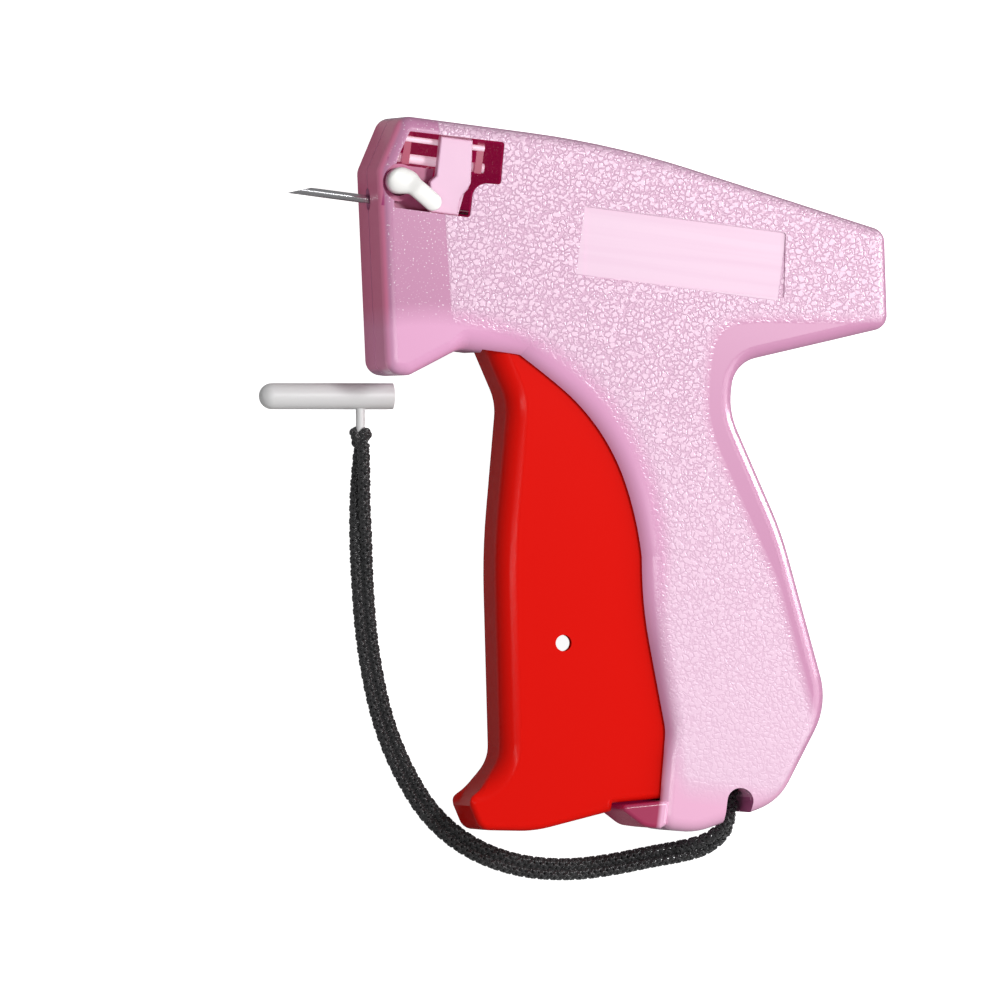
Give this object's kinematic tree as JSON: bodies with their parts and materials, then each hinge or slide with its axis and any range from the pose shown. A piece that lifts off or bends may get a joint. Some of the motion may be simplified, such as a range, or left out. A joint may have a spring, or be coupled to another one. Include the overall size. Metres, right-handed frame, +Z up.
{
  "type": "garment tag attacher",
  "caption": "Pistol-grip tool that pushes plastic tag fasteners through cloth: moulded shells, swinging squeeze trigger, slotted needle, side feed window and a needle cap on a braided tether.",
  "frame": {"origin": "middle of the bottom of the box round the tool without its tether, with the tool lying on its right side", "axes": "+Z up through the tool's thickness to its left side, +Y towards the top of the tool, +X back from the needle"},
  "size_m": [0.1286, 0.1549, 0.0265],
  "materials": {
    "pink_shell": "moulded with a fine leather grain on the sides and smooth along the edges",
    "red_trigger": "glossy, smooth",
    "white_nylon": "smooth nylon",
    "steel": "polished",
    "black_cord": "braided, slightly shiny",
    "cap_plastic": "translucent soft polyethylene"
  },
  "bodies": {
    "housing": {"left_housing": "pink_shell", "right_housing": "pink_shell", "housing_screws": "steel", "trigger_pivot_pin": "steel", "drive_lever_pin": "steel", "strap_anchor_pin": "steel", "rod_guide": "white_nylon", "needle": "steel", "needle_hub": "steel", "needle_seat": "pink_shell", "knife_blade": "steel", "fastener_guide": "pink_shell", "feed_axle": "steel", "pawl_rod": "steel", "return_spring": "steel", "needle_cap": "cap_plastic", "tether_knot": "black_cord", "tether_strand_outer": "black_cord", "tether_strand_inner": "black_cord"},
    "trigger": {"trigger": "red_trigger", "trigger_drive_pin": "steel"},
    "drive_lever": {"drive_lever": "white_nylon"},
    "slide": {"slide": "white_nylon", "slide_drive_pin": "steel", "push_rod": "steel"},
    "feed_wheel": {"feed_wheel": "white_nylon"},
    "feed_pawl": {"feed_pawl": "steel"},
    "needle_lock": {"needle_lock_lever": "white_nylon"}
  },
  "joints": [
    {"name": "trigger_swing", "type": "hinge", "parent": "housing", "child": "trigger", "pos_m": [0.03349, -0.05884, 0.0125], "axis": [0, 0, -1], "range_deg": [0, 11], "stiffness_Nm_per_rad": 3, "springref_deg": -8.59, "deforming": ["return_spring"]},
    {"name": "drive_lever_turn", "type": "hinge", "parent": "housing", "child": "drive_lever", "pos_m": [0.03135, 0.00915, 0.0125], "axis": [0, 0, 1], "range_deg": [0, 39.95]},
    {"name": "slide_travel", "type": "slide", "parent": "housing", "child": "slide", "axis": [-1, 0, 0], "range_m": [0, 0.03054]},
    {"name": "feed_wheel_turn", "type": "hinge", "parent": "housing", "child": "feed_wheel", "pos_m": [-0.03221, 0.06456, 0.0171], "axis": [1, 0, 0], "range_deg": [0, 36.01]},
    {"name": "feed_pawl_turn", "type": "hinge", "parent": "housing", "child": "feed_pawl", "pos_m": [-0.03261, 0.06856, 0.0197], "axis": [1, 0, 0], "range_deg": [0, 8.01]},
    {"name": "needle_lock_turn", "type": "hinge", "parent": "housing", "child": "needle_lock", "pos_m": [-0.04271, 0.05916, 0.0205], "axis": [0, 0, 1], "range_deg": [0, 100]}
  ],
  "couplings": [
    {"joint": "drive_lever_turn", "follows": "trigger_swing", "ratio": 3.6313},
    {"joint": "slide_travel", "follows": "trigger_swing", "m_per_rad": 0.15903},
    {"joint": "feed_wheel_turn", "follows": "trigger_swing", "ratio": 3.2727},
    {"joint": "feed_pawl_turn", "follows": "trigger_swing", "ratio": 0.72727}
  ]
}
